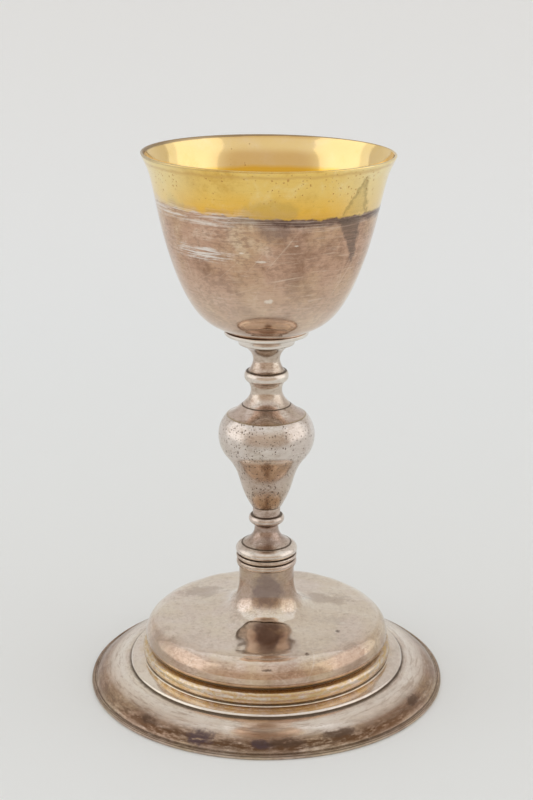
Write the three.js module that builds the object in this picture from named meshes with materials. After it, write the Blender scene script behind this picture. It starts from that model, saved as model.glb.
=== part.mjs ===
// A parcel-gilt silver chalice on a baluster stem, in millimetres, +Z up.
// The origin is the centre of the circle that the foot stands on.
// Every piece is round about the Z axis. Outlines are written as (radius, height),
// each from the height where its own piece starts.
import * as THREE from "three";

// Facets round the wide pieces and round the stem
const wideSides = 36;
const stemSides = 24;

// Bowl: seat, belly, throat and rim, going up
const bowlWall = 1.2;
const bowlSeatRadius = 17.8;
const bellyRadius = 40.9;
const bellyHeight = 30.7;
const throatRadius = 49.3;
const throatHeight = 64.7;
const rimRadius = 53.6;
const bowlHeight = 76.7;
const rimRounding = 0.4;

// Collar under the bowl: a thin disc over an ogee
const discLedge = 0.5;
const discHeight = 1.6;
const discBevel = 0.5;
const ogeeTopRadius = 16.4;
const ogeeHeight = 4.2;
const ogeeLedge = 0.4;

// Upper spool, the slender neck under the collar
const upperSpoolHeight = 12.3;
const upperSpoolTopRadius = 11.8;
const upperWaistRadius = 5.85;
const upperWaistHeight = 5.0;

// Ring between the two upper necks
const ringHeight = 4.6;
const ringBulge = 1.5;
const ringSeatRadius = 8.2;

// Cap of the knop: a neck that spreads into a sloping shoulder
const capNeckHeight = 10.7;
const capWaistRadius = 6.85;
const capWaistHeight = 6.4;
const capLineRadius = 10.6;
const capSlopeHeight = 4.8;

// Knop, a pear upside down: its widest part is round, its lower part tapers in an ogee
const knopRadius = 21.2;
const knopRound = 13.9;
const knopWaistHeight = 24.6;
const knopBellyHeight = 33.3;
const knopHeight = 42.7;
const knopBaseLedge = 0.5;

// Lower spool: band, small ring and trumpet, going down
const bandRadius = 6.1;
const bandHeight = 4.0;
const smallRingHeight = 3.8;
const smallRingBulge = 1.65;
const smallRingSeatRadius = 6.3;
const trumpetHeight = 9.7;
const trumpetRadius = 11.1;
const trumpetWaistRadius = 5.35;
const trumpetWaistHeight = 7.3;

// Stem collar: torus, thin ring and lip, with a groove below each
const torusHeight = 4.4;
const torusBulge = 4.3;
const torusRadius = 13.8;
const torusLowerShare = 0.36;
const torusStartAngle = -35;
const thinRingHeight = 2.1;
const thinRingBulge = 0.8;
const lipHeight = 2.8;
const lipBulge = 0.75;
const upperGrooveHeight = 0.2;
const lowerGrooveHeight = 0.6;
const grooveDepth = 0.3;
const collarSeatRadius = 12.8;
const seatMargin = 0.2;

// Foot: flange, slope, step, moulding, groove, drum and neck, going up
const footWall = 1.5;
const footRadius = 80;
const flangeWidth = 2.1;
const flangeHeight = 2.1;
const flangeRounding = 0.6;
const slopeHeight = 7.5;
const stepRadius = 62;
const stepHeight = 1.5;
const stepRounding = 0.7;
const stepRingWidth = 5.4;
const stepRingRise = 0.5;
const mouldingRise = 1.0;
const mouldingSeatRadius = 54.8;
const mouldingBulge = 1.5;
const mouldingHeight = 5.2;
const footGrooveRadius = 52.4;
const footGrooveHeight = 1.9;
const drumRadius = 54.9;
const drumLipHeight = 2.1;
const shoulderWidth = 9.9;
const shoulderHeight = 9.6;
const shoulderTurn = 84;
const drumTopRise = 1.4;
const neckBaseRadius = 26;
const neckFlareHeight = 15.2;
const neckRadius = 12.3;
const neckHeight = 6.9;
const neckTopThickness = 2.0;

// A point of an outline
const at = (radius, height) => new THREE.Vector2(radius, height);

// A smooth stretch between two points. Each pull is how far its end's handle reaches
// along the radius and the height, as shares of the stretch's own width and height.
function sweep(start, startPull, end, endPull, steps) {
  const width = end.x - start.x;
  const height = end.y - start.y;
  const startHandle = at(start.x + startPull[0] * width, start.y + startPull[1] * height);
  const endHandle = at(end.x - endPull[0] * width, end.y - endPull[1] * height);
  return new THREE.CubicBezierCurve(start, startHandle, endHandle, end).getPoints(steps);
}

// Part of an ellipse, with angles in degrees from straight outwards
function arc(centre, width, height, startAngle, endAngle, steps) {
  return Array.from({ length: steps + 1 }, (_, i) => {
    const angle = THREE.MathUtils.degToRad(startAngle + ((endAngle - startAngle) * i) / steps);
    return at(centre.x + width * Math.cos(angle), centre.y + height * Math.sin(angle));
  });
}

// A half-round moulding that stands out of a straight side
function bead(seatRadius, bulge, start, height, steps) {
  return arc(at(seatRadius, start + height / 2), bulge, height / 2, -90, 90, steps);
}

// The same stretch moved square to itself, towards the axis side of its path
function inset(points, wall) {
  return points.map((point, i) => {
    const before = points[Math.max(i - 1, 0)];
    const after = points[Math.min(i + 1, points.length - 1)];
    const along = after.clone().sub(before).normalize();
    return at(point.x - along.y * wall, point.y + along.x * wall);
  });
}

// Joins stretches and drops points that repeat the one before
function outline(...stretches) {
  const apart = 0.02;
  return stretches.flat().filter((point, i, all) => i === 0 || point.distanceTo(all[i - 1]) > apart);
}

const silver = new THREE.MeshStandardMaterial({ color: 0xb5a497, roughness: 0.3, metalness: 1 });
const wornSilver = new THREE.MeshStandardMaterial({ color: 0xc6bcae, roughness: 0.35, metalness: 1 });
const giltSilver = new THREE.MeshStandardMaterial({ color: 0xc9a873, roughness: 0.28, metalness: 1 });

// Turns an outline round the Z axis into a named mesh that starts at a given height
function turned(name, points, material, sides, base) {
  const geometry = new THREE.LatheGeometry(points, sides);
  geometry.rotateX(Math.PI / 2);
  const mesh = new THREE.Mesh(geometry, material);
  mesh.name = name;
  mesh.position.z = base;
  return mesh;
}

// Heights at which the pieces rest on each other, from the foot up
const stepFoot = flangeHeight + slopeHeight;
const stepTop = stepFoot + stepHeight;
const mouldingBase = stepTop + stepRingRise + mouldingRise;
const grooveBase = mouldingBase + mouldingHeight;
const drumBase = grooveBase + footGrooveHeight;
const shoulderCentre = drumBase + drumLipHeight;
const drumTop = shoulderCentre + shoulderHeight;
const neckBase = drumTop + drumTopRise;
const footHeight = neckBase + neckFlareHeight + neckHeight;
const stemCollarHeight =
  lipHeight + lowerGrooveHeight + thinRingHeight + upperGrooveHeight + torusHeight;
const lowerSpoolHeight = trumpetHeight + smallRingHeight + bandHeight;
const knopCapHeight = capSlopeHeight + capNeckHeight;
const bowlCollarHeight = ogeeHeight + discHeight;
const stemCollarBase = footHeight;
const lowerSpoolBase = stemCollarBase + stemCollarHeight;
const knopBase = lowerSpoolBase + lowerSpoolHeight;
const knopCapBase = knopBase + knopHeight;
const stemRingBase = knopCapBase + knopCapHeight;
const upperSpoolBase = stemRingBase + ringHeight;
const bowlCollarBase = upperSpoolBase + upperSpoolHeight;
const bowlBase = bowlCollarBase + bowlCollarHeight;

// The side of the bowl, moved in by the wall for its inside
function bowlSide(wall) {
  const seat = at(bowlSeatRadius, wall);
  const belly = at(bellyRadius - wall, bellyHeight);
  const throat = at(throatRadius - wall, throatHeight);
  const rim = at(rimRadius - wall, bowlHeight - rimRounding);
  return outline(
    sweep(seat, [0.22, 0.13], belly, [0.41, 0.92], 6),
    sweep(belly, [0.5, 0.36], throat, [0.33, 0.36], 3),
    sweep(throat, [0.33, 0.52], rim, [0.56, 0.49], 3),
  );
}

function bowl() {
  const crest = at(rimRadius - bowlWall / 2, bowlHeight);
  return outline([at(0, 0)], bowlSide(0), [crest], bowlSide(bowlWall).reverse(), [at(0, bowlWall)]);
}

function bowlCollar() {
  const discRadius = bowlSeatRadius + discLedge;
  const base = at(upperSpoolTopRadius + ogeeLedge, 0);
  return outline(
    [at(0, 0)],
    sweep(base, [0.1, 0.5], at(ogeeTopRadius, ogeeHeight), [0.6, 0.3], 4),
    [at(discRadius, ogeeHeight + discBevel), at(discRadius, bowlCollarHeight)],
    [at(0, bowlCollarHeight)],
  );
}

function upperSpool() {
  const waist = at(upperWaistRadius, upperWaistHeight);
  return outline(
    [at(0, 0)],
    sweep(at(ringSeatRadius, 0), [0.36, 0], waist, [0, 0.34], 4),
    sweep(waist, [0, 0.41], at(upperSpoolTopRadius, upperSpoolHeight), [0.6, 0.22], 4),
    [at(0, upperSpoolHeight)],
  );
}

function stemRing() {
  const side = bead(ringSeatRadius, ringBulge, 0, ringHeight, 5);
  return outline([at(0, 0)], side, [at(0, ringHeight)]);
}

// Where the round of the knop meets its flat top and the ogee below
function knopRadiusAt(height) {
  const fromBelly = height - knopBellyHeight;
  return knopRadius - knopRound + Math.sqrt(knopRound ** 2 - fromBelly ** 2);
}

function knopCap() {
  const base = at(knopRadiusAt(knopHeight), 0);
  const line = at(capLineRadius, capSlopeHeight);
  const waist = at(capWaistRadius, capSlopeHeight + capWaistHeight);
  const top = at(ringSeatRadius, knopCapHeight);
  return outline(
    [at(0, 0)],
    sweep(base, [0.39, 0.21], line, [0.31, 0.4], 2),
    sweep(line, [0.48, 0.25], waist, [0, 0.41], 4),
    sweep(waist, [0, 0.49], top, [0.48, 0.28], 3),
    [at(0, knopCapHeight)],
  );
}

function knop() {
  const base = at(bandRadius + knopBaseLedge, 0);
  const waist = at(knopRadiusAt(knopWaistHeight), knopWaistHeight);
  const roundFrom = THREE.MathUtils.radToDeg(Math.asin((knopWaistHeight - knopBellyHeight) / knopRound));
  const roundTo = THREE.MathUtils.radToDeg(Math.asin((knopHeight - knopBellyHeight) / knopRound));
  const centre = at(knopRadius - knopRound, knopBellyHeight);
  return outline(
    [at(0, 0)],
    sweep(base, [0.62, 0.48], waist, [0.68, 0.37], 6),
    arc(centre, knopRound, knopRound, roundFrom, roundTo, 6),
    [at(0, knopHeight)],
  );
}

function lowerSpool() {
  const waist = at(trumpetWaistRadius, trumpetWaistHeight);
  const ringSeat = at(smallRingSeatRadius, trumpetHeight);
  const bandBase = trumpetHeight + smallRingHeight;
  return outline(
    [at(0, 0)],
    sweep(at(trumpetRadius, 0), [0.05, 0.02], waist, [0, 0.67], 5),
    sweep(waist, [0, 0.83], ringSeat, [0.1, 0.17], 2),
    bead(smallRingSeatRadius, smallRingBulge, trumpetHeight, smallRingHeight, 5),
    [at(bandRadius, bandBase), at(bandRadius, lowerSpoolHeight), at(0, lowerSpoolHeight)],
  );
}

function stemCollar() {
  const lowerFloor = collarSeatRadius - grooveDepth;
  const ringBase = lipHeight + lowerGrooveHeight;
  const ringTop = ringBase + thinRingHeight;
  const torusBase = ringTop + upperGrooveHeight;
  const torusCentre = at(torusRadius - torusBulge, torusBase + torusHeight * torusLowerShare);
  const torusRise = torusHeight * (1 - torusLowerShare);
  const torusTop = at(trumpetRadius + seatMargin, stemCollarHeight);
  const torusTo = THREE.MathUtils.radToDeg(Math.acos((torusTop.x - torusCentre.x) / torusBulge));
  return outline(
    [at(0, 0)],
    bead(collarSeatRadius, lipBulge, 0, lipHeight, 3),
    [at(lowerFloor, lipHeight), at(lowerFloor, ringBase)],
    bead(collarSeatRadius, thinRingBulge, ringBase, thinRingHeight, 3),
    [at(lowerFloor, ringTop), at(lowerFloor, torusBase)],
    arc(torusCentre, torusBulge, torusRise, torusStartAngle, torusTo, 5),
    [torusTop, at(0, stemCollarHeight)],
  );
}

// The outside of the foot in the stretches that its inside follows
function footSlope() {
  const flangeEdge = at(footRadius - flangeWidth, flangeHeight);
  return sweep(flangeEdge, [0.14, 0.4], at(stepRadius, stepFoot), [0.52, 0.21], 4);
}

function footDrum() {
  const centre = at(drumRadius - shoulderWidth, shoulderCentre);
  const shoulder = arc(centre, shoulderWidth, shoulderHeight, 0, shoulderTurn, 5);
  const neckStart = at(neckBaseRadius, neckBase);
  const neckEnd = at(neckRadius, neckBase + neckFlareHeight);
  return outline(shoulder, sweep(neckStart, [0.62, 0.04], neckEnd, [0, 0.75], 5));
}

function foot() {
  const ringInner = stepRadius - stepRounding - stepRingWidth;
  const edgeCentre = at(footRadius - flangeRounding, flangeRounding);
  const edge = arc(edgeCentre, flangeRounding, flangeRounding, -90, 0, 2);
  const flangeTop = at(footRadius, flangeHeight - flangeRounding);
  const step = [
    at(stepRadius, stepTop - stepRounding),
    at(stepRadius - stepRounding, stepTop),
    at(ringInner, stepTop + stepRingRise),
    at(mouldingSeatRadius + stepRounding, mouldingBase - stepRingRise),
  ];
  const outside = outline(
    edge,
    [flangeTop, at(footRadius - flangeRounding, flangeHeight)],
    footSlope(),
    step,
    bead(mouldingSeatRadius, mouldingBulge, mouldingBase, mouldingHeight, 4),
    [at(footGrooveRadius, grooveBase), at(footGrooveRadius, drumBase)],
    [at(drumRadius - flangeRounding, drumBase)],
    footDrum(),
    [at(neckRadius, footHeight), at(0, footHeight)],
  );
  const underSlope = inset(footSlope(), footWall);
  const inside = outline(
    [at(underSlope[0].x, 0)],
    underSlope,
    [at(stepRadius - stepRounding - footWall, stepTop - footWall)],
    [at(footGrooveRadius - footWall, stepTop + stepRingRise - footWall)],
    [at(footGrooveRadius - footWall, drumBase + footWall)],
    inset(footDrum(), footWall),
    [at(neckRadius - footWall, footHeight - neckTopThickness), at(0, footHeight - neckTopThickness)],
  );
  return [...inside.reverse(), ...outside];
}

const chalice = new THREE.Group();
chalice.add(
  turned("foot", foot(), silver, wideSides, 0),
  turned("stem_collar", stemCollar(), silver, stemSides, stemCollarBase),
  turned("lower_spool", lowerSpool(), silver, stemSides, lowerSpoolBase),
  turned("knop", knop(), wornSilver, stemSides, knopBase),
  turned("knop_cap", knopCap(), silver, stemSides, knopCapBase),
  turned("stem_ring", stemRing(), silver, stemSides, stemRingBase),
  turned("upper_spool", upperSpool(), silver, stemSides, upperSpoolBase),
  turned("bowl_collar", bowlCollar(), silver, stemSides, bowlCollarBase),
  turned("bowl", bowl(), giltSilver, wideSides, bowlBase),
);

export default chalice;
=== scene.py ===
# A tarnished silver chalice, gilt inside and below the lip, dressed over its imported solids.
# Sizes in the dictionaries are millimetres unless a note says otherwise.
import math
from types import SimpleNamespace
import bpy
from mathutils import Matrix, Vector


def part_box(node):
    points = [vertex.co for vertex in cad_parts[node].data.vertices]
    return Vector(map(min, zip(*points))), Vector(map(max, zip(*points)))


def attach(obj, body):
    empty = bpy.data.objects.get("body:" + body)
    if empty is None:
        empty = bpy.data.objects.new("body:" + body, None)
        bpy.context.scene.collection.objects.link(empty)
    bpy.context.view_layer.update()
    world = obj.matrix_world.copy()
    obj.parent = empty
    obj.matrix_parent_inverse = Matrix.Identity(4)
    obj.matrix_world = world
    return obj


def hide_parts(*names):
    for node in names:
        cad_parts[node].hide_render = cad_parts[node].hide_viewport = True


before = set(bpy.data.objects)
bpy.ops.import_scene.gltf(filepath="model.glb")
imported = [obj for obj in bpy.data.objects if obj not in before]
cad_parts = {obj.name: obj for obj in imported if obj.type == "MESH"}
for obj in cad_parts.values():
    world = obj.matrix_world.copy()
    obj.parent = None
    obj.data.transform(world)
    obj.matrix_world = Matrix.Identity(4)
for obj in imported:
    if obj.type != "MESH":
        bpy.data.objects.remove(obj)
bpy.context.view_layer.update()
mm = 0.001
white = (1.0, 1.0, 1.0, 1.0)
black = (0.0, 0.0, 0.0, 1.0)
number, whole, vector = "NodeSocketFloat", "NodeSocketInt", "NodeSocketVector"
colour, shape, metal = "NodeSocketColor", "NodeSocketGeometry", "NodeSocketMaterial"
print("frame loaded:", ", ".join(sorted(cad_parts)))


def inMetres(values):
    return [value * mm for value in values]


def put(tree, kind, inputs=None, **settings):
    # adds a node, sets its options, then fills or links its inputs
    node = tree.nodes.new(kind)
    for key, value in settings.items():
        setattr(node, key, value)
    for key, value in (inputs or {}).items():
        if isinstance(value, bpy.types.NodeSocket):
            tree.links.new(value, node.inputs[key])
        else:
            node.inputs[key].default_value = value
    return node


def calc(tree, operation, a, b=0.0, c=0.0):
    return put(tree, "ShaderNodeMath", {0: a, 1: b, 2: c}, operation=operation).outputs[0]


def plus(tree, a, b):
    return calc(tree, "ADD", a, b)


def minus(tree, a, b):
    return calc(tree, "SUBTRACT", a, b)


def times(tree, product, *factors):
    for factor in factors:
        product = calc(tree, "MULTIPLY", product, factor)
    return product


def xyz(tree, place):
    return put(tree, "ShaderNodeSeparateXYZ", {0: place}).outputs


def join(tree, x, y, z):
    return put(tree, "ShaderNodeCombineXYZ", {0: x, 1: y, 2: z}).outputs[0]


def ramp(tree, value, low, high, toLow=0.0, toHigh=1.0, smooth=True):
    return put(tree, "ShaderNodeMapRange", {
        "Value": value, "From Min": low, "From Max": high, "To Min": toLow, "To Max": toHigh},
        interpolation_type="SMOOTHSTEP" if smooth else "LINEAR").outputs[0]


def noiseAt(tree, place, scale, detail, roughness=0.5, distortion=0.0):
    return put(tree, "ShaderNodeTexNoise", {
        "Vector": place, "Scale": scale, "Detail": detail, "Roughness": roughness,
        "Distortion": distortion}).outputs[0]


def mixColour(tree, factor, a, b, blend="MIX"):
    return put(tree, "ShaderNodeMix", {0: factor, 6: a, 7: b}, data_type="RGBA", blend_type=blend).outputs[2]


def socketKind(value):
    if isinstance(value, tuple):
        return vector if len(value) == 3 else colour
    return whole if isinstance(value, int) else number


def newTree(name, kind, inputs, outputs):
    # an input has a first value, or a socket type where it needs none; an output has a socket type
    tree = bpy.data.node_groups.new(name, kind)
    for label, value in inputs.items():
        bare = isinstance(value, str)
        socketType = value if bare else socketKind(value)
        socket = tree.interface.new_socket(name=label, in_out="INPUT", socket_type=socketType)
        if not bare:
            socket.default_value = value
    for label, socketType in outputs.items():
        tree.interface.new_socket(name=label, in_out="OUTPUT", socket_type=socketType)
    return tree, tree.nodes.new("NodeGroupInput").outputs, tree.nodes.new("NodeGroupOutput").inputs


def sweep(start, startPull, end, endPull, steps=18):
    # a smooth stretch between two points; a pull is its handle's reach as shares of width and height
    width, height = end[0] - start[0], end[1] - start[1]
    a = (start[0] + startPull[0] * width, start[1] + startPull[1] * height)
    b = (end[0] - endPull[0] * width, end[1] - endPull[1] * height)
    points = []
    for i in range(steps + 1):
        t = i / steps
        w = ((1 - t) ** 3, 3 * t * (1 - t) ** 2, 3 * t * t * (1 - t), t ** 3)
        points.append(tuple(w[0] * start[k] + w[1] * a[k] + w[2] * b[k] + w[3] * end[k] for k in (0, 1)))
    return points


def arc(centre, width, height, startAngle, endAngle, steps=10):
    angles = [math.radians(startAngle + (endAngle - startAngle) * i / steps) for i in range(steps + 1)]
    return [(centre[0] + width * math.cos(a), centre[1] + height * math.sin(a)) for a in angles]


def bead(seatRadius, bulge, start, height, steps=12):
    return arc((seatRadius, start + height / 2), bulge, height / 2, -90, 90, steps)


def inset(points, wall):
    moved = []
    for i, (radius, height) in enumerate(points):
        before, after = points[max(i - 1, 0)], points[min(i + 1, len(points) - 1)]
        outward, rise = after[0] - before[0], after[1] - before[1]
        length = math.hypot(outward, rise)
        moved.append((radius - rise / length * wall, height + outward / length * wall))
    return moved


softLook = {"closest": 0.015, "sharpDegrees": 25, "largestShare": 0.42}


def soften(points, rounding):
    # rounds every sharp corner a little, so that edges catch the light
    kept = [points[0]]
    for p in points[1:]:
        if math.dist(p, kept[-1]) > softLook["closest"]:
            kept.append(p)
    soft = [kept[0]]
    for before, corner, after in zip(kept, kept[1:], kept[2:]):
        a = (before[0] - corner[0], before[1] - corner[1])
        b = (after[0] - corner[0], after[1] - corner[1])
        la, lb = math.hypot(*a), math.hypot(*b)
        bend = math.pi - math.acos(max(-1, min(1, (a[0] * b[0] + a[1] * b[1]) / (la * lb))))
        if bend < math.radians(softLook["sharpDegrees"]):
            soft.append(corner)
            continue
        r = min(rounding, softLook["largestShare"] * la, softLook["largestShare"] * lb)
        start = (corner[0] + a[0] / la * r, corner[1] + a[1] / la * r)
        end = (corner[0] + b[0] / lb * r, corner[1] + b[1] / lb * r)
        for t in (0, 0.25, 0.5, 0.75, 1):
            w = ((1 - t) ** 2, 2 * t * (1 - t), t * t)
            soft.append(tuple(w[0] * start[k] + w[1] * corner[k] + w[2] * end[k] for k in (0, 1)))
    soft.append(kept[-1])
    return soft


# lengths in metres, as inside every node tree
latheLook = {"fullWavePerMetre": 100.0, "dentFade": 0.006, "dentSeedShift": 5.0, "weld": 0.000002}


def latheTree():
    tree, given, result = newTree("turn outline on a lathe", "GeometryNodeTree", {
        "Outline": shape, "Segments": 128, "Hand Depth": 0.0, "Hand Width": 0.03, "Hand Seed": 0.0,
        "Lean": 0.0, "Lean From": 0.0, "Dent Depth": 0.0, "Dent Width": 0.02, "Dent Low": 0.0,
        "Dent High": 0.0, "Metal": metal, "Lining": metal, "Lining First": -1, "Lining Last": -2},
        {"Geometry": shape})
    count = put(tree, "GeometryNodeAttributeDomainSize", {0: given["Outline"]}).outputs["Point Count"]
    grid = put(tree, "GeometryNodeMeshGrid", {
        "Vertices X": plus(tree, given["Segments"], 1.0), "Vertices Y": count})
    index = put(tree, "GeometryNodeInputIndex").outputs[0]
    row = calc(tree, "FLOORED_MODULO", index, count)
    column = calc(tree, "FLOOR", calc(tree, "DIVIDE", index, count))
    outlinePoint = xyz(tree, put(tree, "GeometryNodeSampleIndex", {
        "Geometry": given["Outline"], "Value": put(tree, "GeometryNodeInputPosition").outputs[0],
        "Index": row}, data_type="FLOAT_VECTOR", domain="POINT").outputs[0])
    radius, height = outlinePoint["X"], outlinePoint["Z"]
    # the last column lands exactly on the first
    wrapped = calc(tree, "FRACT", calc(tree, "DIVIDE", column, given["Segments"]))
    angle = times(tree, wrapped, 2 * math.pi)
    cosine, sine = calc(tree, "COSINE", angle), calc(tree, "SINE", angle)
    turned = join(tree, times(tree, radius, cosine), times(tree, radius, sine), height)

    def slowWaves(width, seed, detail):
        noise = put(tree, "ShaderNodeTexNoise", {
            "Vector": turned, "W": seed, "Detail": detail, "Scale": calc(tree, "DIVIDE", 1.0, width)},
            noise_dimensions="4D")
        return minus(tree, noise.outputs[0], 0.5)

    # slow hand-raised waves in the radius, none at the axis
    amount = times(tree, slowWaves(given["Hand Width"], given["Hand Seed"], 1.0), given["Hand Depth"])
    fade = calc(tree, "MINIMUM", times(tree, radius, latheLook["fullWavePerMetre"]), 1.0)
    grown = plus(tree, radius, times(tree, amount, fade))
    # a lean is a small shift to the right that grows with height, and a matching drop
    across = times(tree, grown, cosine)
    leaned = plus(tree, across, times(tree, minus(tree, height, given["Lean From"]), given["Lean"]))
    drop = times(tree, across, given["Lean"])
    # slow dents in the height, between two heights only
    dent = slowWaves(given["Dent Width"], plus(tree, given["Hand Seed"], latheLook["dentSeedShift"]), 2.0)
    lowFade = ramp(tree, height, given["Dent Low"], plus(tree, given["Dent Low"], latheLook["dentFade"]))
    highFade = ramp(tree, height, given["Dent High"], minus(tree, given["Dent High"], latheLook["dentFade"]))
    dented = times(tree, dent, times(tree, given["Dent Depth"], times(tree, lowFade, highFade)))
    lowered = plus(tree, minus(tree, height, drop), dented)
    final = join(tree, leaned, times(tree, grown, sine), lowered)
    # faces between two rows of the outline carry the lining
    rows = calc(tree, "FLOORED_MODULO", index, minus(tree, count, 1.0))
    first = calc(tree, "GREATER_THAN", rows, minus(tree, given["Lining First"], 0.5))
    last = calc(tree, "LESS_THAN", rows, plus(tree, given["Lining Last"], 0.5))
    marked = put(tree, "GeometryNodeStoreNamedAttribute", {
        "Geometry": grid.outputs["Mesh"], "Name": "lining", "Value": times(tree, first, last)},
        data_type="FLOAT", domain="FACE")
    moved = put(tree, "GeometryNodeSetPosition", {"Geometry": marked.outputs[0], "Position": final})
    merged = put(tree, "GeometryNodeMergeByDistance", {
        "Geometry": moved.outputs[0], "Distance": latheLook["weld"]})
    smooth = put(tree, "GeometryNodeSetShadeSmooth", {
        "Geometry": merged.outputs[0], "Shade Smooth": True}, domain="FACE")
    real = put(tree, "GeometryNodeRealizeInstances", {"Geometry": smooth.outputs[0]})
    body = put(tree, "GeometryNodeSetMaterial", {"Geometry": real.outputs[0], "Material": given["Metal"]})
    lining = put(tree, "GeometryNodeInputNamedAttribute", {"Name": "lining"}, data_type="FLOAT")
    lined = put(tree, "GeometryNodeSetMaterial", {
        "Geometry": body.outputs[0], "Material": given["Lining"],
        "Selection": calc(tree, "GREATER_THAN", lining.outputs[0], 0.5)})
    tree.links.new(lined.outputs[0], result["Geometry"])
    return tree


lathe = latheTree()
print("lathe tree ready")

# a shape may say otherwise for each of these
turnLook = {
    "handDepth": 0.0, "handWidth": 30.0, "handSeed": 1.0, "leanDegrees": 0.0, "leanFrom": 0.0,
    "dentDepth": 0.0, "dentWidth": 20.0, "dentLow": 0.0, "dentHigh": 0.0, "edgeRounding": 0.0,
}


def turn(name, node, outline, look, material, lining=None, liningRows=(-1, -2)):
    # outline in millimetres from the node's own base, going up the outside and down the inside
    look = {**turnLook, **look}
    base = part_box(node)[0].z
    if look["edgeRounding"]:
        outline = soften(outline, look["edgeRounding"])
    points = [(radius * mm, 0.0, base + height * mm) for radius, height in outline]
    mesh = bpy.data.meshes.new(name + " outline")
    mesh.from_pydata(points, [(i, i + 1) for i in range(len(points) - 1)], [])
    piece = bpy.data.objects.new(name, mesh)
    bpy.context.collection.objects.link(piece)
    modifier = piece.modifiers.new("turning", "NODES")
    modifier.node_group = lathe
    values = {
        "Segments": look["segments"], "Hand Depth": look["handDepth"] * mm,
        "Hand Width": look["handWidth"] * mm, "Hand Seed": look["handSeed"],
        "Lean": math.radians(look["leanDegrees"]), "Lean From": base + look["leanFrom"] * mm,
        "Dent Depth": look["dentDepth"] * mm, "Dent Width": look["dentWidth"] * mm,
        "Dent Low": base + look["dentLow"] * mm, "Dent High": base + look["dentHigh"] * mm,
        "Metal": material, "Lining": lining or material,
        "Lining First": liningRows[0], "Lining Last": liningRows[1]}
    for socket in lathe.interface.items_tree:
        if socket.name in values:
            modifier[socket.identifier] = values[socket.name]
    bpy.context.view_layer.update()
    depsgraph = bpy.context.evaluated_depsgraph_get()
    turnedMesh = bpy.data.meshes.new_from_object(
        piece.evaluated_get(depsgraph), preserve_all_data_layers=True, depsgraph=depsgraph)
    piece.modifiers.clear()
    piece.data = turnedMesh
    turnedMesh.name = name
    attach(piece, "root")
    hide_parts(node)
    print(f"{name}: {len(turnedMesh.polygons)} faces")


def makeFilm():
    # clean metal, film and thick film in patches broken by finer clouds
    tree, given, result = newTree("tarnish film", "ShaderNodeTree", {
        "Vector": vector, "Patch Scale": 25.0, "Cloud Scale": 120.0, "Contrast": 3.0, "Clean Metal": white,
        "Film": white, "Thick Film": black}, {"Color": colour, "Mask": number})
    big = noiseAt(tree, given["Vector"], given["Patch Scale"], 3.0, distortion=0.6)
    small = noiseAt(tree, given["Vector"], given["Cloud Scale"], 8.0, 0.72)
    mixed = plus(tree, times(tree, big, 0.6), times(tree, small, 0.4))
    centred = times(tree, minus(tree, mixed, 0.5), given["Contrast"])
    mask = put(tree, "ShaderNodeClamp", {"Value": plus(tree, centred, 0.5)}).outputs[0]
    thin = mixColour(tree, ramp(tree, mask, 0.0, 0.5), given["Clean Metal"], given["Film"])
    full = mixColour(tree, ramp(tree, mask, 0.5, 1.0), thin, given["Thick Film"])
    tree.links.new(full, result["Color"])
    tree.links.new(mask, result["Mask"])
    return tree


def makeTurning():
    # fine rings left by turning and burnishing, broken into strokes
    tree, given, result = newTree("turning marks", "ShaderNodeTree", {
        "Vector": vector, "Radius Share": 1.0, "Rings": 2500.0, "Around": 6.0},
        {"Height": number, "Strokes": number})
    at = xyz(tree, given["Vector"])
    squares = plus(tree, times(tree, at["X"], at["X"]), times(tree, at["Y"], at["Y"]))
    radius = calc(tree, "SQRT", squares)
    safe = calc(tree, "MAXIMUM", radius, 0.0005)
    along = plus(tree, at["Z"], times(tree, radius, given["Radius Share"]))
    stretched = join(
        tree, times(tree, calc(tree, "DIVIDE", at["X"], safe), given["Around"]),
        times(tree, calc(tree, "DIVIDE", at["Y"], safe), given["Around"]), times(tree, along, given["Rings"]))
    rings = noiseAt(tree, stretched, 1.0, 4.0, 0.7)
    tree.links.new(rings, result["Height"])
    tree.links.new(ramp(tree, rings, 0.56, 0.72), result["Strokes"])
    return tree


def makeHairlines():
    # long fine scratches from wiping, in three slanted directions
    tree, given, result = newTree("wiping hairlines", "ShaderNodeTree", {
        "Vector": vector, "Fineness": 900.0, "Length": 25.0, "Share": 0.5}, {"Lines": number})
    lines = 0.0
    for slant in ((0.35, 0.2, 0.1), (-0.5, 0.9, 0.6), (1.3, -0.3, 2.1)):
        turned = put(tree, "ShaderNodeMapping", {"Vector": given["Vector"], "Rotation": slant})
        at = xyz(tree, turned.outputs[0])
        stretched = join(tree, times(tree, at["X"], given["Length"]), times(tree, at["Y"], given["Length"]),
                         times(tree, at["Z"], given["Fineness"]))
        scratches = ramp(tree, noiseAt(tree, stretched, 1.0, 2.0, 0.6), 0.64, 0.76)
        lines = calc(tree, "MAXIMUM", lines, scratches)
    tree.links.new(times(tree, lines, given["Share"]), result["Lines"])
    return tree


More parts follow.
